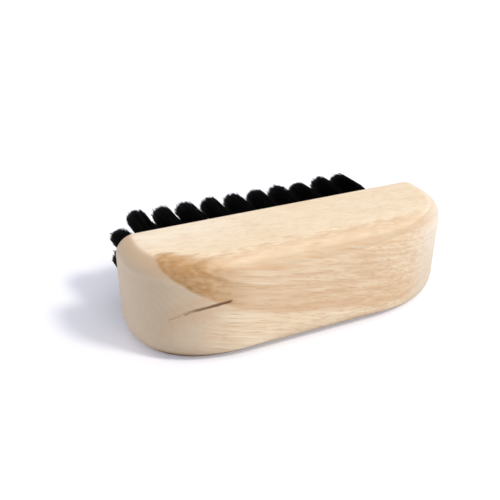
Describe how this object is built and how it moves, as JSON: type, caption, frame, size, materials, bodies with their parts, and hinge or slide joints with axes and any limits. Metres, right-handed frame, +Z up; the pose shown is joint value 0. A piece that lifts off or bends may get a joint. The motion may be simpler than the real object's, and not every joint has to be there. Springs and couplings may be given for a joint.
{
  "type": "leather cleaning brush",
  "caption": "Hand brush for cleaning leather: a domed solid hardwood block, gripped over its back, with rows of short black bristle tufts set into its flat face.",
  "frame": {"origin": "on the ground under the middle of the whole brush, which lies on one flat side", "axes": "+X along the block, +Y the way the bristles point, +Z up across the block's width"},
  "size_m": [0.125, 0.0604, 0.0375],
  "materials": {
    "wood": "sanded bare hardwood with a faint satin seal",
    "bristle": "near-black natural hair, matt with a faint sheen"
  },
  "bodies": {
    "root": {"wooden_block": "wood", "tuft_row1_col01": "bristle", "tuft_row1_col02": "bristle", "tuft_row1_col03": "bristle", "tuft_row1_col04": "bristle", "tuft_row1_col05": "bristle", "tuft_row1_col06": "bristle", "tuft_row1_col07": "bristle", "tuft_row1_col08": "bristle", "tuft_row1_col09": "bristle", "tuft_row1_col10": "bristle", "tuft_row2_col01": "bristle", "tuft_row2_col02": "bristle", "tuft_row2_col03": "bristle", "tuft_row2_col04": "bristle", "tuft_row2_col05": "bristle", "tuft_row2_col06": "bristle", "tuft_row2_col07": "bristle", "tuft_row2_col08": "bristle", "tuft_row2_col09": "bristle", "tuft_row2_col10": "bristle", "tuft_row2_col11": "bristle", "tuft_row3_col01": "bristle", "tuft_row3_col02": "bristle", "tuft_row3_col03": "bristle", "tuft_row3_col04": "bristle", "tuft_row3_col05": "bristle", "tuft_row3_col06": "bristle", "tuft_row3_col07": "bristle", "tuft_row3_col08": "bristle", "tuft_row3_col09": "bristle", "tuft_row3_col10": "bristle", "tuft_row4_col01": "bristle", "tuft_row4_col02": "bristle", "tuft_row4_col03": "bristle", "tuft_row4_col04": "bristle", "tuft_row4_col05": "bristle", "tuft_row4_col06": "bristle", "tuft_row4_col07": "bristle", "tuft_row4_col08": "bristle", "tuft_row4_col09": "bristle", "tuft_row4_col10": "bristle", "tuft_row4_col11": "bristle", "tuft_row5_col01": "bristle", "tuft_row5_col02": "bristle", "tuft_row5_col03": "bristle", "tuft_row5_col04": "bristle", "tuft_row5_col05": "bristle", "tuft_row5_col06": "bristle", "tuft_row5_col07": "bristle", "tuft_row5_col08": "bristle", "tuft_row5_col09": "bristle", "tuft_row5_col10": "bristle"}
  },
  "joints": []
}
